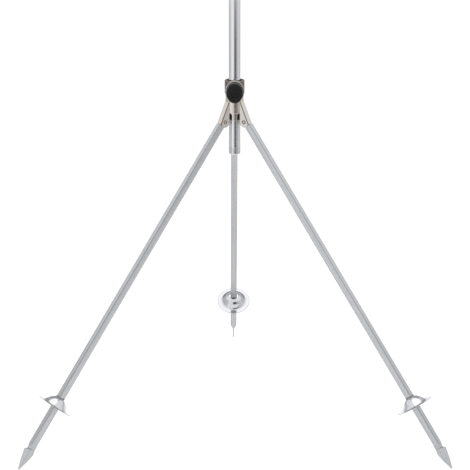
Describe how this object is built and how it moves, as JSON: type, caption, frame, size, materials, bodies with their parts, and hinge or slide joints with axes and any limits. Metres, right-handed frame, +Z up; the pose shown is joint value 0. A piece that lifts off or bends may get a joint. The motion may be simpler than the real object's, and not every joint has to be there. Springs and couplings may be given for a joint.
{
  "type": "rod stand",
  "caption": "Folding spiked tripod rod stand: square-tube legs with sand discs, and a round mast that slides and turns in a plated hub clamped by a hand knob.",
  "frame": {"origin": "on the ground plane through the three spear points, on the mast's axis", "axes": "+Z up along the mast; -Y faces the clamp knob, and one leg points to +Y"},
  "size_m": [0.9246, 0.8008, 1.4],
  "materials": {
    "mast_metal": "drawn, clear anodised",
    "cap_metal": "turned",
    "plug_plastic": "moulded",
    "insert_brass": "turned",
    "sleeve_plate": "nickel-plated",
    "collar_plate": "nickel-plated, bright",
    "bush_plastic": "moulded nylon",
    "fork_plate": "nickel-plated pressing",
    "rivet_steel": "zinc-plated",
    "knob_plastic": "fine-grained moulding",
    "knob_cap_plastic": "smooth",
    "flange_plate": "plated",
    "screw_steel": "zinc-plated",
    "leg_steel": "drawn tube, zinc-plated",
    "disc_plate": "plated pressing",
    "grommet_rubber": "moulded"
  },
  "bodies": {
    "hub": {"hub_sleeve": "sleeve_plate", "upper_bush": "bush_plastic", "clamp_collar": "collar_plate", "clamp_boss": "screw_steel", "fork_left": "fork_plate", "fork_right": "fork_plate", "fork_rear": "fork_plate", "pivot_rivet_left": "rivet_steel", "pivot_rivet_right": "rivet_steel", "pivot_rivet_rear": "rivet_steel"},
    "swivel": {"guide_bush": "bush_plastic"},
    "mast": {"mast_tube": "mast_metal", "mast_end_cap": "cap_metal", "mast_top_plug": "plug_plastic", "socket_insert": "insert_brass"},
    "pad": {"clamp_pad": "bush_plastic"},
    "knob": {"clamp_screw": "screw_steel", "clamp_knob": "knob_plastic", "knob_cap": "knob_cap_plastic", "knob_plate": "flange_plate"},
    "leg_left": {"leg_left": "leg_steel", "sand_disc_left": "disc_plate", "disc_grommet_left": "grommet_rubber", "disc_pin_left": "screw_steel"},
    "leg_right": {"leg_right": "leg_steel", "sand_disc_right": "disc_plate", "disc_grommet_right": "grommet_rubber", "disc_pin_right": "screw_steel"},
    "leg_rear": {"leg_rear": "leg_steel", "sand_disc_rear": "disc_plate", "disc_grommet_rear": "grommet_rubber", "disc_pin_rear": "screw_steel"}
  },
  "joints": [
    {"name": "mast_swivel", "type": "hinge", "parent": "hub", "child": "swivel", "pos_m": [0, 0, 0.708], "axis": [0, 0, 1], "continuous": true},
    {"name": "mast_slide", "type": "slide", "parent": "swivel", "child": "mast", "axis": [0, 0, 1], "range_m": [-0.58, 0.06]},
    {"name": "pad_slide", "type": "slide", "parent": "hub", "child": "pad", "axis": [0, -1, 0], "range_m": [0, 0.0025]},
    {"name": "knob_turn", "type": "hinge", "parent": "pad", "child": "knob", "pos_m": [0, -0.03, 0.765], "axis": [0, -1, 0], "range_deg": [0, 720]},
    {"name": "leg_fold_left", "type": "hinge", "parent": "hub", "child": "leg_left", "pos_m": [-0.02382, -0.01375, 0.698], "axis": [0.5, -0.866, 0], "range_deg": [0, 33.5]},
    {"name": "leg_fold_right", "type": "hinge", "parent": "hub", "child": "leg_right", "pos_m": [0.02382, -0.01375, 0.698], "axis": [0.5, 0.866, 0], "range_deg": [0, 33.5]},
    {"name": "leg_fold_rear", "type": "hinge", "parent": "hub", "child": "leg_rear", "pos_m": [0, 0.0275, 0.698], "axis": [-1, 0, 0], "range_deg": [0, 33.5]}
  ],
  "couplings": [
    {"joint": "pad_slide", "follows": "knob_turn", "m_per_rad": 0.000198}
  ]
}
